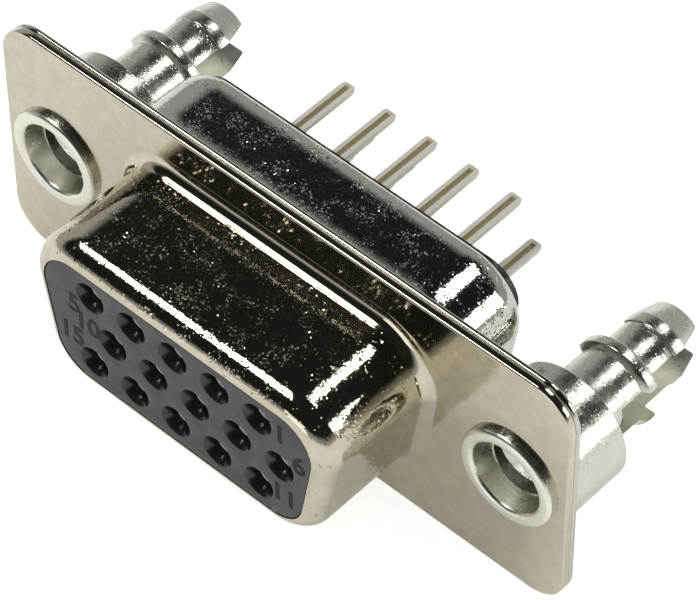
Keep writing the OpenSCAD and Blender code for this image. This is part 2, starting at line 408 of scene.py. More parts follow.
def linear(hex_colour, share=1.0):
    """A linear RGBA colour from an sRGB hex value, made darker or paler by a share."""
    channels = [int(hex_colour[i : i + 2], 16) / 255 for i in (1, 3, 5)]
    knee, slope, offset, power = 0.04045, 12.92, 0.055, 2.4
    values = [c / slope if c <= knee else ((c + offset) / (1 + offset)) ** power for c in channels]
    return (*(min(1.0, value * share) for value in values), 1.0)


def add_node(tree, kind, inputs=None, **properties):
    """Adds a shader node with its properties set and its inputs set or linked."""
    node = tree.nodes.new("ShaderNode" + kind)
    for name, value in properties.items():
        setattr(node, name, value)
    for name, value in (inputs or {}).items():
        if isinstance(value, bpy.types.NodeSocket):
            tree.links.new(value, node.inputs[name])
        else:
            node.inputs[name].default_value = value
    return node


def new_material(name):
    """An empty node material and its tree."""
    material = bpy.data.materials.new(name)
    material.use_nodes = True
    material.node_tree.nodes.clear()
    return material, material.node_tree


def patches(tree, place, grain_mm, detail, roughness, edges, levels=(0.0, 1.0), distortion=0.0):
    """Patches about that many millimetres wide, which pass smoothly from one level to another."""
    noise = add_node(
        tree, "TexNoise",
        {"Vector": place, "Scale": 1 / (grain_mm * MM), "Detail": detail,
         "Roughness": roughness, "Distortion": distortion},
    )
    return add_node(
        tree, "MapRange",
        {"Value": noise.outputs["Fac"], "From Min": edges[0], "From Max": edges[1],
         "To Min": levels[0], "To Max": levels[1]},
        interpolation_type="SMOOTHSTEP",
    ).outputs["Result"]


def relief(tree, place, grain_mm, detail, roughness, depth_mm, under=None):
    """Lumps of a width and a height in millimetres, on top of another relief if there is one."""
    noise = add_node(
        tree, "TexNoise",
        {"Vector": place, "Scale": 1 / (grain_mm * MM), "Detail": detail, "Roughness": roughness},
    )
    inputs = {"Height": noise.outputs["Fac"], "Distance": depth_mm * MM, "Strength": 1.0}
    if under is not None:
        inputs["Normal"] = under
    return add_node(tree, "Bump", inputs).outputs["Normal"]


def crystals(tree, place, normal, grain_mm, rarity, lean):
    """Crystals of a bright deposit: most lie flat, and the few that lean, each its own way,
    glint white where the plating mirrors something dark. lean varies over the surface, and a
    higher rarity leaves fewer leaning. Real grains are finer: these are as coarse as they need
    to be to show."""
    # A cell's colour, seen from grey, is its way of leaning, and its reach is at most about 1
    grey, to_one = (0.5, 0.5, 0.5), 1.2
    cells = add_node(tree, "TexVoronoi", {"Vector": place, "Scale": 1 / (grain_mm * MM)})
    way = add_node(
        tree, "VectorMath", {0: cells.outputs["Color"], 1: grey}, operation="SUBTRACT"
    ).outputs["Vector"]
    reach = add_node(tree, "VectorMath", {0: way}, operation="LENGTH").outputs["Value"]
    share = add_node(tree, "Math", {0: reach, 1: to_one}, operation="MULTIPLY").outputs[0]
    rare = add_node(tree, "Math", {0: share, 1: rarity}, operation="POWER").outputs[0]
    amount = add_node(tree, "Math", {0: rare, 1: lean}, operation="MULTIPLY").outputs[0]
    push = add_node(tree, "VectorMath", {0: way, "Scale": amount}, operation="SCALE").outputs[0]
    leaning = add_node(tree, "VectorMath", {0: normal, 1: push}, operation="ADD").outputs[0]
    return add_node(tree, "VectorMath", {0: leaning}, operation="NORMALIZE").outputs[0]


def plated_sheet(name, colour, drawn_from, drawn_to):
    """Bright plating on deep-drawn steel: the drawn walls have an orange peel with clusters of
    glinting crystals, and the flat flange stays smooth, with a faint mottle. The peel sets in
    between two depths, in millimetres."""
    material, tree = new_material(name)
    place = add_node(tree, "TexCoord").outputs["Object"]
    depth = add_node(tree, "SeparateXYZ", {"Vector": place}).outputs["Y"]
    drawn = add_node(
        tree, "MapRange",
        {"Value": depth, "From Min": drawn_from * MM, "From Max": drawn_to * MM},
        interpolation_type="SMOOTHSTEP",
    ).outputs["Result"]
    mottle = patches(tree, place, 0.9, 6.0, 0.75, (0.35, 0.65))
    base = add_node(
        tree, "Mix",
        {"Factor": mottle, MIX_FIRST: linear(colour, 0.88), MIX_SECOND: linear(colour)},
        data_type="RGBA",
    ).outputs[MIX_RESULT]
    waves = add_node(
        tree, "TexNoise",
        {"Vector": place, "Scale": 1 / (0.45 * MM), "Detail": 2.0, "Roughness": 0.5},
    ).outputs["Fac"]
    peel = add_node(tree, "Math", {0: waves, 1: drawn}, operation="MULTIPLY").outputs[0]
    wavy = add_node(
        tree, "Bump", {"Height": peel, "Distance": 0.006 * MM, "Strength": 1.0}
    ).outputs["Normal"]
    clusters = patches(tree, place, 1.1, 4.0, 0.65, (0.46, 0.6), (0.12, 1.3))
    lean = add_node(tree, "Math", {0: clusters, 1: drawn}, operation="MULTIPLY").outputs[0]
    more = add_node(tree, "Math", {0: lean, 1: 2.8}, operation="MULTIPLY").outputs[0]
    fine = crystals(tree, place, wavy, 0.036, 10.0, lean)
    coarse = crystals(tree, place, fine, 0.07, 8.0, more)
    rough = add_node(
        tree, "MapRange", {"Value": drawn, "To Min": 0.11, "To Max": 0.08},
        interpolation_type="SMOOTHSTEP",
    ).outputs["Result"]
    shader = add_node(
        tree, "BsdfPrincipled",
        {"Base Color": base, "Metallic": 1.0, "Roughness": rough, "Normal": coarse},
    )
    add_node(tree, "OutputMaterial", {"Surface": shader.outputs[0]})
    return material


def bright_nickel():
    """Nickel has a warm, slightly yellow shine. The shroud is drawn forwards."""
    return plated_sheet("bright_nickel_on_drawn_steel", settings("finishes").nickel, -0.3, -0.8)


def bright_tin():
    """Tin has a cooler shine. The hump is drawn to the rear."""
    return plated_sheet("bright_tin_on_drawn_steel", settings("finishes").tin, 0.7, 1.1)


def turned_tin(name, colour, smooth, rings_mm, lean):
    """Bright tin on a turned part: fine rings left by the tool, and a lumpy, crystalline deposit
    that breaks the lamps' streaks up. smooth is the range of its roughness."""
    material, tree = new_material(name)
    place = add_node(tree, "TexCoord").outputs["Object"]
    cloud = add_node(
        tree, "TexNoise",
        {"Vector": place, "Scale": 1 / (0.6 * MM), "Detail": 4.0, "Roughness": 0.7},
    ).outputs["Fac"]
    base = add_node(
        tree, "Mix",
        {"Factor": cloud, MIX_FIRST: linear(colour, 0.82), MIX_SECOND: linear(colour)},
        data_type="RGBA",
    ).outputs[MIX_RESULT]
    # Both locks are wound about their own axes: the distance from the axis, and the depth
    axis, flat, drift = (centre_of(LOCKS[1]).x, 0, 0), (1, 0, 1), 0.05
    sides = add_node(tree, "VectorMath", {0: place}, operation="ABSOLUTE").outputs[0]
    out = add_node(tree, "VectorMath", {0: sides, 1: axis}, operation="SUBTRACT").outputs[0]
    across = add_node(tree, "VectorMath", {0: out, 1: flat}, operation="MULTIPLY").outputs[0]
    reach = add_node(tree, "VectorMath", {0: across}, operation="LENGTH").outputs["Value"]
    parts = add_node(tree, "SeparateXYZ", {"Vector": place}).outputs
    height = add_node(tree, "Math", {0: parts["Z"], 1: drift}, operation="MULTIPLY").outputs[0]
    wound = add_node(tree, "CombineXYZ", {"X": reach, "Y": parts["Y"], "Z": height}).outputs[0]
    lumps = relief(tree, place, 0.25, 3.0, 0.6, 0.004)
    rings = relief(tree, wound, rings_mm, 1.0, 0.5, 0.04 * rings_mm, lumps)
    clusters = patches(tree, place, 0.8, 3.0, 0.6, (0.35, 0.65), (0.4 * lean, lean))
    grain = crystals(tree, place, rings, 0.04, 4.0, clusters)
    rough = patches(tree, place, 0.5, 3.0, 0.5, (0.3, 0.7), smooth)
    shader = add_node(
        tree, "BsdfPrincipled",
        {"Base Color": base, "Metallic": 1.0, "Roughness": rough, "Normal": grain},
    )
    add_node(tree, "OutputMaterial", {"Surface": shader.outputs[0]})
    return material


def satin_tin(name, colour):
    """Dull tin on folded strip: a soft pale sheen drawn out along the tail by the rolls. Its
    skin of oxide scatters much of the light, so it isn't fully metallic."""
    material, tree = new_material(name)
    place = add_node(tree, "TexCoord").outputs["Object"]
    cloud = add_node(
        tree, "TexNoise",
        {"Vector": place, "Scale": 1 / (0.8 * MM), "Detail": 2.0, "Roughness": 0.5},
    ).outputs["Fac"]
    base = add_node(
        tree, "Mix",
        {"Factor": cloud, MIX_FIRST: linear(colour, 0.86), MIX_SECOND: linear(colour)},
        data_type="RGBA",
    ).outputs[MIX_RESULT]
    drawn_out = add_node(tree, "Mapping", {"Vector": place, "Scale": (1.0, 0.08, 1.0)}).outputs[0]
    rolled = relief(tree, drawn_out, 0.07, 2.0, 0.5, 0.003)
    rough = patches(tree, place, 0.5, 3.0, 0.5, (0.3, 0.7), (0.42, 0.55))
    shader = add_node(
        tree, "BsdfPrincipled",
        {"Base Color": base, "Metallic": 0.25, "Roughness": rough, "Normal": rolled},
    )
    add_node(tree, "OutputMaterial", {"Surface": shader.outputs[0]})
    return material


def moulded_plastic(name, colour, glow=0.35, smooth=(0.26, 0.38)):
    """Glass-filled polyester, moulded against a spark-eroded steel: satin, with a fine grain and
    paler flow marks where the fibres come up to the skin. A polished pin leaves it glossier."""
    material, tree = new_material(name)
    place = add_node(tree, "TexCoord").outputs["Object"]
    flow = patches(tree, place, 1.6, 4.0, 0.6, (0.35, 0.75), distortion=0.6)
    tint = add_node(
        tree, "Mix",
        {"Factor": flow, MIX_FIRST: linear(colour), MIX_SECOND: linear(colour, 1.25)},
        data_type="RGBA",
    ).outputs[MIX_RESULT]
    erosion = relief(tree, place, 0.09, 3.0, 0.6, 0.006)
    rough = patches(tree, place, 0.09, 3.0, 0.6, (0.3, 0.7), smooth)
    shader = add_node(
        tree, "BsdfPrincipled",
        {"Base Color": tint, "Roughness": rough, "IOR": 1.52, "Specular IOR Level": glow,
         "Normal": erosion},
    )
    add_node(tree, "OutputMaterial", {"Surface": shader.outputs[0]})
    return material


# ---- Pieces ----


def flange_section(low, high, edge):
    """Outer edge of a flange's sheet from its front face to its rear one, with broken edges."""
    return [
        *arc((-edge, low + edge), edge, -90, 0, EDGE_STEPS),
        *arc((-edge, high - edge), edge, 0, 90, EDGE_STEPS),
    ]


def drawn_piece(name, material, node, faces, d_size, section):
    """A sheet with a flange between two depths and a D drawn out of it, as one closed mesh.
    section goes from the flange's front face, along one side of the sheet, round its free edge
    and back to the flange's rear face: distances out of the D, and depths."""
    sizes = settings("shells")
    low, high = faces
    steps = sizes.corner_steps
    width, height = FRONT_HIGH.x - FRONT_LOW.x, FRONT_HIGH.z - FRONT_LOW.z
    bm = bmesh.new()
    edge = [
        ring(bm, round_box(width, height, sizes.flange_r, grow, steps), y)
        for grow, y in flange_section(low, high, sizes.edge_r)
    ]
    holes = []
    for lock in LOCKS:
        outline = circle(centre_of(lock), sizes.lock_hole_d / 2, LOCK_HOLE_STEPS)
        holes.append([ring(bm, outline, low), ring(bm, outline, high)])
    drawn = [ring(bm, d_outline(d_size, sizes.side_angle, grow, steps), y) for grow, y in section]
    skin_all(bm, edge)
    skin_all(bm, drawn)
    for front, rear in holes:
        skin(bm, front, rear)
    cap(bm, [edge[0], drawn[0], *(hole[0] for hole in holes)])
    cap(bm, [edge[-1], drawn[-1], *(hole[1] for hole in holes)])
    return finish_piece(name, bm, material, [node])


class CONNECTOR_OT_front_shell(bpy.types.Operator):
    """Flange and D-shaped shroud, drawn from one sheet, with a lip turned in over the face"""

    bl_idname = "connector.front_shell"
    bl_label = "Front shell"

    def execute(self, context):
        sizes = settings("shells")
        sheet = FRONT_HIGH.y
        steps = sizes.bend_steps
        bend = (sizes.shroud_bend, -sizes.shroud_bend)
        outer = sizes.lip_bend
        inner = outer - sheet
        lip = (-outer, FRONT_LOW.y + outer)
        reach = outer - sizes.lip_w
        outer_turn = math.degrees(math.acos(reach / outer))
        inner_turn = math.degrees(math.acos(reach / inner))
        section = [
            *arc(bend, sizes.shroud_bend, 90, 180, steps),
            *arc(lip, outer, 0, -outer_turn, steps),
            *arc(lip, inner, -inner_turn, 0, steps),
            *arc(bend, sizes.shroud_bend + sheet, 180, 90, steps),
        ]
        d_size = (sizes.shroud_w, sizes.shroud_h, sizes.shroud_r)
        drawn_piece(
            "front_shell_sheet", bright_nickel(), "front_shell",
            (0.0, sheet), d_size, section,
        )
        return {"FINISHED"}


class CONNECTOR_OT_rear_shell(bpy.types.Operator):
    """Flange and D-shaped hump, drawn from one sheet, with a rim turned in behind the insulator"""

    bl_idname = "connector.rear_shell"
    bl_label = "Rear shell"

    def execute(self, context):
        sizes = settings("shells")
        front = REAR_LOW.y
        sheet = sizes.rear_sheet
        rear = front + sheet
        steps = sizes.bend_steps
        foot, outer, draw = sizes.hump_bend, sizes.rim_bend, sizes.draw_in
        end = REAR_HIGH.y + sizes.rim_back
        bend, rim = (foot, rear + draw), (-outer, end - draw)
        section = [
            *arc(bend, foot + sheet, -90, -180, steps, draw + sheet),
            *arc(rim, outer - sheet, 0, 90, steps, draw - sheet),
            (-sizes.rim_w, end - sheet),
            (-sizes.rim_w, end),
            *arc(rim, outer, 90, 0, steps, draw),
            *arc(bend, foot, 180, 270, steps, draw),
        ]
        d_size = (sizes.hump_w, sizes.hump_h, sizes.hump_r)
        drawn_piece(
            "rear_shell_sheet", bright_tin(), "rear_shell",
            (front, rear), d_size, section,
        )
        return {"FINISHED"}


def insulator_walls(bm, sizes, shells):
    """Base in the hump and boss in the shroud, up to the edge of the face. Gives the first ring
    and the last."""
    slope, steps = shells.side_angle, shells.corner_steps
    # The base starts behind the front flange, whose depth is the sheet's thickness
    face, joint, sheet = FACE_LOW.y, FACE_HIGH.y, FRONT_HIGH.y
    edge = sizes.edge_r
    shroud = (shells.shroud_w, shells.shroud_h, shells.shroud_r)
    hump = (shells.hump_w, shells.hump_h, shells.hump_r)
    inner = shells.lip_bend - sheet - sizes.slip
    shoulder = (-shells.lip_bend, FRONT_LOW.y + shells.lip_bend)
    under_lip = math.degrees(math.acos((shells.lip_bend - shells.lip_w - sizes.slip) / inner))
    face_in = shells.lip_w + sizes.slip
    base = [
        ring(bm, d_outline(hump, slope, -shells.rear_sheet - sizes.slip, steps), y)
        for y in (joint, sheet)
    ]
    boss = [
        ring(bm, d_outline(shroud, slope, grow, steps), y)
        for grow, y in [
            (-sheet - sizes.slip, sheet),
            *arc(shoulder, inner, 0, -under_lip, CURL_STEPS),
            *arc((-face_in - edge, face + edge), edge, 0, -90, ROUND_STEPS),
        ]
    ]
    skin_all(bm, [*base, *boss])
    return base[0], boss[-1]


def hole_section(sizes):
    """Half section of a contact's cavity: its countersunk mouth, its entry, and the room for the
    socket. Each point is a distance from the axis and a depth."""
    face, edge, countersink = FACE_LOW.y, sizes.edge_r, 215
    entry, room = sizes.entry_d / 2, sizes.room_d / 2
    return [
        *arc((sizes.mouth_d / 2 + edge, face + edge), edge, 270, countersink, EDGE_STEPS),
        (entry, face + sizes.mouth_depth),
        (entry, face + sizes.room_start),
        (room, face + sizes.room_start),
        (room, FACE_HIGH.y),
    ]


def contact_hole(bm, centre, section, steps):
    """One contact's cavity. Gives its first ring and its last."""
    rings = [ring(bm, circle(centre, radius, steps), y) for radius, y in section]
    skin_all(bm, rings)
    return rings[0], rings[-1]


def polish_holes(mesh, centres, sizes):
    """Gives the faces inside the contact holes the second finish: glossier plastic, painted darker
    as painted shade in the holes.
    """
    for polygon in mesh.polygons:
        middle = polygon.center
        if FACE_LOW.y + sizes.edge_r / 2 < middle.y < FACE_HIGH.y:
            near = min(math.hypot(middle.x - c.x, middle.z - c.z) for c in centres)
            polygon.material_index = int(near < sizes.mouth_d / 2)


class CONNECTOR_OT_front_insulator(bpy.types.Operator):
    """Moulded front insulator: boss in the shroud, base in the hump, fifteen countersunk holes"""

    bl_idname = "connector.front_insulator"
    bl_label = "Front insulator"

    def execute(self, context):
        sizes, finishes = settings("insulators"), settings("finishes")
        centres, section = [centre_of(node) for node in CONTACTS], hole_section(sizes)
        bm = bmesh.new()
        rear, front = insulator_walls(bm, sizes, settings("shells"))
        holes = [contact_hole(bm, centre, section, sizes.hole_steps) for centre in centres]
        cap(bm, [front, *(mouth for mouth, _ in holes)])
        cap(bm, [rear, *(end for _, end in holes)])
        grey = moulded_plastic("moulded_grey_polyester", finishes.grey)
        # Inside the holes the plastic is glossier, and painted darker as painted shade
        polished = moulded_plastic("polyester_off_polished_pins", finishes.holes, 0.6, (0.16, 0.24))
        piece = finish_piece(
            "front_insulator_moulding", bm, grey, ["front_insulator"], sharp=30.0
        )
        piece.data.materials.append(polished)
        polish_holes(piece.data, centres, sizes)
        return {"FINISHED"}


def dress(node, material):
    """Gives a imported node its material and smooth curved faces."""
    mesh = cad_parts[node].data
    mesh.materials.clear()
    mesh.materials.append(material)
    mesh.shade_smooth()
    mesh.set_sharp_from_angle(angle=math.radians(CRISP))


class CONNECTOR_OT_rear_insulator(bpy.types.Operator):
    """Finish of the rear insulator, which shows behind the hump's rim"""

    bl_idname = "connector.rear_insulator"
    bl_label = "Rear insulator"

    def execute(self, context):
        black = moulded_plastic("moulded_black_polyester", settings("finishes").black)
        dress("rear_insulator", black)
        return {"FINISHED"}


def figure(number, across, up, sizes):
    """A contact's number, as text on the insulator's face."""
    centre = centre_of(f"contact_{number:02d}")
    font = bpy.data.curves.new(f"figure_{number}", "FONT")
    font.body = str(number)
    font.size = sizes.figure_h / FIGURE_SHARE
    font.extrude = sizes.figure_t
    font.offset = sizes.figure_stroke
    font.align_x, font.align_y = "CENTER", "CENTER"
    text = bpy.data.objects.new(font.name, font)
    bpy.context.scene.collection.objects.link(text)
    text.location = (centre.x + across * MM, FACE_LOW.y, centre.z + up * MM)
    text.rotation_euler = (math.radians(90), 0, 0)
    return text


class CONNECTOR_OT_figures(bpy.types.Operator):
    """Moulded numbers beside the first and last contact of each row"""

    bl_idname = "connector.figures"
    bl_label = "Contact numbers"

    def execute(self, context):
        sizes = settings("insulators")
        figures = [figure(number, *aside, sizes) for number, aside in FIGURES.items()]
        bpy.context.view_layer.update()
        depsgraph = bpy.context.evaluated_depsgraph_get()
        bm = bmesh.new()
        for text in figures:
            mesh = bpy.data.meshes.new_from_object(text.evaluated_get(depsgraph))
            mesh.transform(text.matrix_world)
            bm.from_mesh(mesh)
            bpy.data.meshes.remove(mesh)
            bpy.data.objects.remove(text)
        # The figures' plastic is painted near black, as painted shade in their strokes
        dark = moulded_plastic("moulded_figures", settings("finishes").figures, 0.12)
        finish_piece("contact_numbers", bm, dark)
        return {"FINISHED"}


def folded(bm, stations, inside=0):
    """A bent sheet that runs from station to station: each is a depth, the points of its outer
    face and those of its inner face. The inner face gets a material slot of its own."""
    outer = [[bm.verts.new((x, y, z)) for x, z in points] for y, points, _ in stations]
    inner = [[bm.verts.new((x, y, z)) for x, z in points] for y, _, points in stations]
    for a, b, c, d in zip(outer, outer[1:], inner, inner[1:]):
        for k in range(len(a) - 1):
            bm.faces.new((a[k], a[k + 1], b[k + 1], b[k]))
            bm.faces.new((c[k], d[k], d[k + 1], c[k + 1])).material_index = inside
        for k in (0, -1):
            bm.faces.new((a[k], b[k], d[k], c[k]))
    for a, c in ((outer[0], inner[0]), (outer[-1], inner[-1])):
        for k in range(len(a) - 1):
            bm.faces.new((a[k], c[k], c[k + 1], a[k + 1]))


def channel(centre, sizes, width, depth, across, down):
    """Points of one face of a tail's channel: down a wall, round the floor and up again.
    across and down draw them in towards the tip's prow."""
    radius, fold_steps = width / 2, 10
    straight = depth - radius
    points = [(-radius, 0.0), *arc((0.0, -straight), radius, 180, 360, fold_steps), (radius, 0.0)]
    top = centre.z + sizes.tail_top
    return [(centre.x + x * across, top + z * down) for x, z in points]


def quarter_round(way):
    """How high a quarter circle stands at a share of its way in: 0 at its start and 1 from its
    end on."""
    left = min(1.0, max(0.0, 1 - way))
    return math.sqrt(1 - left**2)


def tail(bm, centre, sizes, start, end):
    """Solder tail: a channel whose end is closed by a rounded prow. There it is down to a share
    of its width and height, and its inside to nearly nothing."""
    prow, wall, steps = sizes.prow, sizes.strip, 8
    end_width, end_height, closed = 0.72, 0.45, 0.03
    width_in, height_in = sizes.tail_w - 2 * wall, sizes.tail_h - wall
    stations = []
    for y in (start, end - 2 * prow, *(end - prow * (1 - k / steps) for k in range(steps + 1))):
        bend = quarter_round((end - y) / prow)
        close = max(quarter_round((end - wall - y) / prow), closed)
        across = end_width + (1 - end_width) * bend
        down = end_height + (1 - end_height) * bend
        stations.append((
            y,
            channel(centre, sizes, sizes.tail_w, sizes.tail_h, across, down),
            channel(centre, sizes, width_in, height_in, across, close),
        ))
    # The inner face takes the second material, painted darker as shade in the fold
    folded(bm, stations, 1)


def socket(bm, centre, sizes, mouth, joint):
    """Socket with two tines, and the shoulder that the insulators hold."""
    bore, wall = sizes.bore / 2, sizes.socket_d / 2
    root, lip, tine_steps = mouth + sizes.tine_l, 0.06 * MM, TUBE_STEPS // 2
    shoulder_end = joint + sizes.shoulder_t
    tube = [
        (bore, root), (wall, root), (wall, joint), (sizes.shoulder_d / 2, joint),
        (sizes.shoulder_d / 2, shoulder_end), (bore, shoulder_end),
    ]
    rings = [ring(bm, circle(centre, radius, TUBE_STEPS), y) for radius, y in tube]
    skin_all(bm, [*rings, rings[0]])
    half_gap = math.degrees(sizes.tine_gap / 2 / wall)
    middle = (centre.x, centre.z)
    for turn in (0, 180):
        faces = (turn + half_gap, turn + 180 - half_gap, tine_steps)
        folded(bm, [
            (y, arc(middle, wall - back, *faces), arc(middle, bore + back, *faces))
            for y, back in ((mouth, lip), (mouth + lip, 0.0), (root, 0.0))
        ])


class CONNECTOR_OT_contacts(bpy.types.Operator):
    """Contacts: slotted sockets, shoulders, and solder tails folded from strip"""

    bl_idname = "connector.contacts"
    bl_label = "Contacts"

    def execute(self, context):
        sizes, finishes = settings("contacts"), settings("finishes")
        tin = satin_tin("satin_tin_on_folded_strip", finishes.contact)
        # The second material paints the inside of each tail's fold darker and warmer, as painted
        # shade
        trough = satin_tin("dull_tin_inside_the_fold", finishes.trough)
        for node in CONTACTS:
            low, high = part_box(node)
            centre = centre_of(node)
            centre.z = low.z + sizes.shoulder_d / 2
            bm = bmesh.new()
            socket(bm, centre, sizes, low.y, FACE_HIGH.y)
            tail(bm, centre, sizes, FACE_HIGH.y + sizes.shoulder_t / 2, high.y)
            piece = finish_piece(f"{node}_strip", bm, tin, [node], CRISP)
            piece.data.materials.append(trough)
        return {"FINISHED"}


def lock_section(sizes):
    """Half section of a turned lock: out of its bore, over the rolled rim and down the outside.
    Each point is a distance from the axis and a depth."""
    collar_front = FRONT_HIGH.y + settings("shells").rear_sheet
    curl, edge = sizes.curl_r, sizes.edge_r
    crest = curl - sizes.rim_top
    thread, throat, tube = sizes.thread_d / 2, sizes.throat_d / 2, sizes.tube_d / 2
    rim_in, rim_out = sizes.rim_bore / 2, sizes.rim_d / 2
    collar, shank, ring_r = sizes.collar_d / 2, sizes.shank_d / 2, sizes.ring_d / 2
    prong, head, tip = sizes.prong_d / 2, sizes.head_d / 2, sizes.tip_d / 2
    return [
        (0.0, sizes.bore_end + thread / 4),
        (thread, sizes.bore_end),
        (thread, sizes.thread_start),
        (throat, sizes.thread_start),
        *arc((rim_in + curl, crest), curl, 180, 270, CURL_STEPS),
        *arc((rim_out - curl, crest), curl, 270, 360, CURL_STEPS),
        (rim_out, 0.0),
        (tube, 0.0),
        (tube, collar_front),
        *arc((collar - edge, collar_front + edge), edge, -90, 0, EDGE_STEPS),
        *arc((collar - edge, sizes.collar_end - edge), edge, 0, 90, EDGE_STEPS),
        *arc((shank + edge, sizes.collar_end + edge), edge, 270, 180, EDGE_STEPS),
        (shank, sizes.ring_start),
        *arc((ring_r - 2 * edge, sizes.ring_start + 4 * edge), 2 * edge, -30, 0, EDGE_STEPS),
        *arc((ring_r - 2 * edge, sizes.ring_end - 2 * edge), 2 * edge, 0, 90, ROUND_STEPS),
        *arc((prong + edge, sizes.ring_end + edge), edge, 270, 180, EDGE_STEPS),
        (prong, sizes.head_start - edge),
        *arc((head - edge, sizes.head_start + edge), edge, -90, 0, EDGE_STEPS),
        *arc((head - edge, sizes.head_start + sizes.head_l - edge), edge, 0, 35, EDGE_STEPS),
        *arc((tip - 2 * edge, LOCK_END - 2 * edge), 2 * edge, 20, 90, EDGE_STEPS),
        (0.0, LOCK_END),
    ]


def turned(bm, centre, section, steps):
    """A solid of revolution about an axis along Y; the section starts and ends on the axis."""
    rings = [ring(bm, circle(centre, radius, steps), y) for radius, y in section[1:-1]]
    skin_all(bm, rings)
    for loop, y in ((rings[0], section[0][1]), (rings[-1], section[-1][1])):
        tip = bm.verts.new((centre.x, y, centre.z))
        for a, b in zip(loop, loop[1:] + loop[:1]):
            bm.faces.new((a, b, tip))


def thread_ridge(bm, centre, sizes):
    """A thread ridge that winds down the bore. Its root is sunk into the wall, and both its ends
    fade out over part of a turn."""
    steps, fade_steps = 48, 16
    root_share, crest_share = 0.44, 0.22
    sunk, least = 0.02 * MM, 0.01 * MM
    pitch = sizes.thread_pitch
    start, end = sizes.thread_start + pitch / 2, sizes.bore_end - pitch
    count = int((end - start) / pitch * steps)
    outer = sizes.thread_d / 2 + sunk
    half = pitch * root_share
    crest = half * crest_share
    profiles = []
    for k in range(count + 1):
        fade = min(1.0, k / fade_steps, (count - k) / fade_steps)
        angle = 2 * math.pi * k / steps
        depth = start + pitch * k / steps
        inner = outer - sizes.thread_depth * fade - least
        way = Vector((math.cos(angle), 0, math.sin(angle)))
        corners = ((outer, -half), (inner, -crest), (inner, crest), (outer, half))
        profiles.append([
            bm.verts.new(Vector((centre.x, depth + along, centre.z)) + way * radius)
            for radius, along in corners
        ])
    skin_all(bm, profiles)
    bm.faces.new(profiles[0])
    bm.faces.new(profiles[-1])


class CONNECTOR_OT_locks(bpy.types.Operator):
    """Turned board locks with rolled rims, tapped bores and slotted prongs"""

    bl_idname = "connector.locks"
    bl_label = "Board locks"

    def execute(self, context):
        sizes, finishes = settings("locks"), settings("finishes")
        tin = turned_tin("bright_tin_on_turned_brass", finishes.lock, (0.2, 0.29), 0.09, 0.75)
        rolled = turned_tin(
            "tin_burnished_by_the_riveting_tool", finishes.rim, (0.26, 0.36), 0.14, 0.15
        )
        for node in LOCKS:
            centre = centre_of(node)
            bm = slotted_body(centre, sizes)
            thread_ridge(bm, centre, sizes)
            piece = finish_piece(f"{node}_turned", bm, tin, [node], CRISP)
            piece.data.materials.append(rolled)
            burnish(piece.data, centre, sizes)
        return {"FINISHED"}


def slotted_body(centre, sizes):
    """The turned body with its slot cut out, as a bmesh."""
    bm = bmesh.new()
    turned(bm, centre, lock_section(sizes), sizes.turn_steps)
    bmesh.ops.recalc_face_normals(bm, faces=bm.faces)
    blank = add_object("turned_body", bm)
    cutter = slot_cutter(centre, sizes)
    cut = blank.modifiers.new("slot", "BOOLEAN")
    cut.operation, cut.solver, cut.object = "DIFFERENCE", "EXACT", cutter
    bpy.context.view_layer.update()
    depsgraph = bpy.context.evaluated_depsgraph_get()
    slotted = bpy.data.meshes.new_from_object(blank.evaluated_get(depsgraph))
    if len(slotted.polygons) <= len(blank.data.polygons) / 2:
        raise RuntimeError("The slot's cut left less than half of the board lock")
    bm = bmesh.new()
    bm.from_mesh(slotted)
    for leftover in (blank, cutter):
        bpy.data.objects.remove(leftover)
    return bm


def burnish(mesh, centre, sizes):
    """Gives the rolled rim with its throat, and the slot's sawn faces, the second finish."""
    lap = 0.05 * sizes.curl_r
    side, sawn = sizes.rim_d / 2 - lap, sizes.slot_w / 2
    near, square = 0.01 * MM, 0.99
    for polygon in mesh.polygons:
        middle = polygon.center - centre
        on_rim = polygon.center.y < sizes.thread_start and math.hypot(middle.x, middle.z) < side
        in_slot = abs(abs(middle.z) - sawn) < near and abs(polygon.normal.z) > square
        polygon.material_index = int(on_rim or in_slot)


def slot_cutter(centre, sizes):
    """Box that cuts the slot between the prongs."""
    past = 1 * MM
    bm = bmesh.new()
    bmesh.ops.create_cube(bm, size=1.0)
    depth = LOCK_END + past - sizes.slot_root
    bmesh.ops.scale(bm, vec=(2 * sizes.collar_d, depth, sizes.slot_w), verts=bm.verts)
    middle = Vector((centre.x, sizes.slot_root + depth / 2, centre.z))
    bmesh.ops.translate(bm, vec=middle, verts=bm.verts)
    return add_object("slot_cutter", bm)


# ---- Stage ----


def paper_material():
    """Matt white paper: it keeps the connector's shadow, and reads as white to the camera and in
    the plating."""
    to_camera, in_plating = 0.7, 0.2
    material, tree = new_material("white_paper")
    path = add_node(tree, "LightPath").outputs
    rays = {0: path["Is Glossy Ray"], 1: path["Is Transmission Ray"]}
    mirrored = add_node(tree, "Math", rays, operation="MAXIMUM").outputs[0]
    glint = add_node(tree, "Math", {0: mirrored, 1: in_plating}, operation="MULTIPLY").outputs[0]
    seen = add_node(
        tree, "Math", {0: path["Is Camera Ray"], 1: to_camera}, operation="MULTIPLY"
    ).outputs[0]
    lift = add_node(tree, "Math", {0: seen, 1: glint}, operation="MAXIMUM").outputs[0]
    diffuse = add_node(tree, "BsdfDiffuse", {"Color": linear(settings("stage").paper)})
    glow = add_node(tree, "Emission", {"Color": WHITE, "Strength": lift})
    both = add_node(tree, "AddShader", {0: diffuse.outputs[0], 1: glow.outputs[0]})
    add_node(tree, "OutputMaterial", {"Surface": both.outputs[0]})
    return material


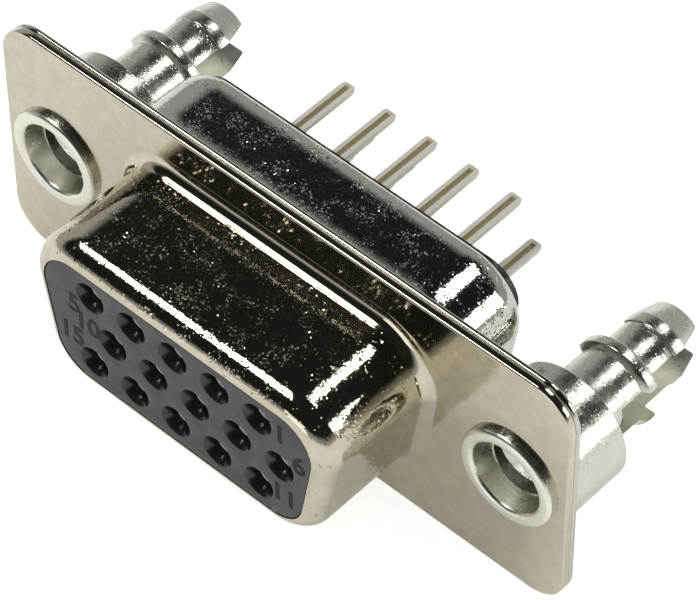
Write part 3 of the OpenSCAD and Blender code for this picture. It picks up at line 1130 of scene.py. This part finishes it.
def studio_world():
    """White all round to the camera. The plating mirrors walls that are pale near the table, and
    high up only behind the connector, with a dark ceiling over them. A plain grey lights the
    rest."""
    world = bpy.data.worlds.new("studio")
    bpy.context.scene.world = world
    world.use_nodes = True
    tree = world.node_tree
    tree.nodes.clear()
    path = add_node(tree, "LightPath").outputs
    way = add_node(tree, "TexCoord").outputs["Generated"]
    height = add_node(tree, "SeparateXYZ", {"Vector": way}).outputs["Z"]
    aside = add_node(
        tree, "VectorMath", {0: way, 1: PALE_SIDE}, operation="DOT_PRODUCT"
    ).outputs["Value"]
    rise = add_node(
        tree, "MapRange",
        {"Value": aside, "From Min": -0.2, "From Max": 0.6, "To Min": 0.0, "To Max": WALL_RISE},
        interpolation_type="SMOOTHSTEP",
    ).outputs["Result"]
    over = add_node(tree, "Math", {0: height, 1: rise}, operation="SUBTRACT").outputs[0]
    room = add_node(
        tree, "MapRange",
        {"Value": over, "From Min": 0.02, "From Max": 0.3, "To Min": WALL, "To Max": CEILING},
        interpolation_type="SMOOTHSTEP",
    ).outputs["Result"]
    mirrored, fill, white = (
        add_node(tree, "Background", {"Color": WHITE, "Strength": strength}).outputs[0]
        for strength in (room, FILL, 1.0)
    )
    rays = {0: path["Is Glossy Ray"], 1: path["Is Transmission Ray"]}
    glossy = add_node(tree, "Math", rays, operation="MAXIMUM").outputs[0]
    lit = add_node(tree, "MixShader", {0: glossy, 1: fill, 2: mirrored}).outputs[0]
    shown = add_node(tree, "MixShader", {0: path["Is Camera Ray"], 1: lit, 2: white}).outputs[0]
    add_node(tree, "OutputWorld", {"Surface": shown})


def towards(turn, rise):
    """The way out from the connector at an azimuth and an elevation."""
    return Vector((
        math.sin(turn) * math.cos(rise), -math.cos(turn) * math.cos(rise), math.sin(rise)
    ))


def softbox(name, azimuth, elevation, size, radiance):
    """A soft rectangular lamp that faces the connector from an angle, at a given brightness."""
    lamp = bpy.data.lights.new(name, "AREA")
    lamp.shape = "RECTANGLE"
    lamp.size, lamp.size_y = size
    lamp.energy = radiance * math.pi * size[0] * size[1]
    holder = bpy.data.objects.new(name, lamp)
    bpy.context.scene.collection.objects.link(holder)
    turn, rise = math.radians(azimuth), math.radians(elevation)
    way = towards(turn, rise)
    holder.location = way * LAMP_DISTANCE
    holder.rotation_mode = "QUATERNION"
    holder.rotation_quaternion = (-way).to_track_quat("-Z", "Y")


def place_camera(stage):
    """The camera, from its turn, height and roll and its place along and across its own axes."""
    turn, rise, roll = stage.azimuth, stage.elevation, stage.roll
    back = towards(turn, rise)
    level = Vector((math.cos(turn), math.sin(turn), 0.0))
    upright = back.cross(level)
    right = level * math.cos(roll) + upright * math.sin(roll)
    up = upright * math.cos(roll) - level * math.sin(roll)
    data = bpy.data.cameras.new("camera")
    data.lens, data.sensor_width = stage.lens, 36.0
    data.clip_start, data.clip_end = 0.01, 10.0
    camera = bpy.data.objects.new("camera", data)
    bpy.context.scene.collection.objects.link(camera)
    place = right * stage.aim[0] + up * stage.aim[1] + back * stage.distance
    camera.matrix_world = Matrix((
        (right.x, up.x, back.x, place.x),
        (right.y, up.y, back.y, place.y),
        (right.z, up.z, back.z, place.z),
        (0, 0, 0, 1),
    ))
    bpy.context.scene.camera = camera


class CONNECTOR_OT_stage(bpy.types.Operator):
    """Pale floor, soft light and the camera"""

    bl_idname = "connector.stage"
    bl_label = "Stage"

    def execute(self, context):
        bm = bmesh.new()
        corners = ((-1, -1), (1, -1), (1, 1), (-1, 1))
        bm.faces.new([
            bm.verts.new((x * FLOOR_REACH, y * FLOOR_REACH, CAD_BOX[0].z)) for x, y in corners
        ])
        floor = add_object("floor", bm)
        floor.data.materials.append(paper_material())
        studio_world()
        for name, lamp in LAMPS.items():
            softbox(name, *lamp)
        place_camera(settings("stage"))
        bpy.context.scene.view_settings.view_transform = "Standard"
        return {"FINISHED"}


OPERATORS = (
    CONNECTOR_OT_front_shell,
    CONNECTOR_OT_rear_shell,
    CONNECTOR_OT_front_insulator,
    CONNECTOR_OT_rear_insulator,
    CONNECTOR_OT_figures,
    CONNECTOR_OT_contacts,
    CONNECTOR_OT_locks,
    CONNECTOR_OT_stage,
)


class CONNECTOR_PT_sidebar(bpy.types.Panel):
    """Sizes, colours and steps of the connector"""

    bl_idname = "CONNECTOR_PT_sidebar"
    bl_label = "Connector"
    bl_space_type = "VIEW_3D"
    bl_region_type = "UI"
    bl_category = "Connector"

    def draw(self, context):
        for operator in OPERATORS:
            self.layout.operator(operator.bl_idname)
        for group in GROUPS:
            box = self.layout.box()
            box.label(text=group.title())
            for name in settings(group).bl_rna.properties.keys():
                if name not in ("rna_type", "name"):
                    box.prop(settings(group), name)


def register():
    for group, cls in GROUPS.items():
        bpy.utils.register_class(cls)
        setattr(bpy.types.Scene, "connector_" + group, PointerProperty(type=cls))
    for cls in (*OPERATORS, CONNECTOR_PT_sidebar):
        bpy.utils.register_class(cls)


def unregister():
    for cls in reversed((*OPERATORS, CONNECTOR_PT_sidebar)):
        bpy.utils.unregister_class(cls)
    for group, cls in GROUPS.items():
        delattr(bpy.types.Scene, "connector_" + group)
        bpy.utils.unregister_class(cls)


def main():
    register()
    bpy.ops.connector.front_shell()
    bpy.ops.connector.rear_shell()
    bpy.ops.connector.front_insulator()
    bpy.ops.connector.rear_insulator()
    bpy.ops.connector.figures()
    bpy.ops.connector.contacts()
    bpy.ops.connector.locks()
    bpy.ops.connector.stage()


if __name__ == "__main__":
    main()
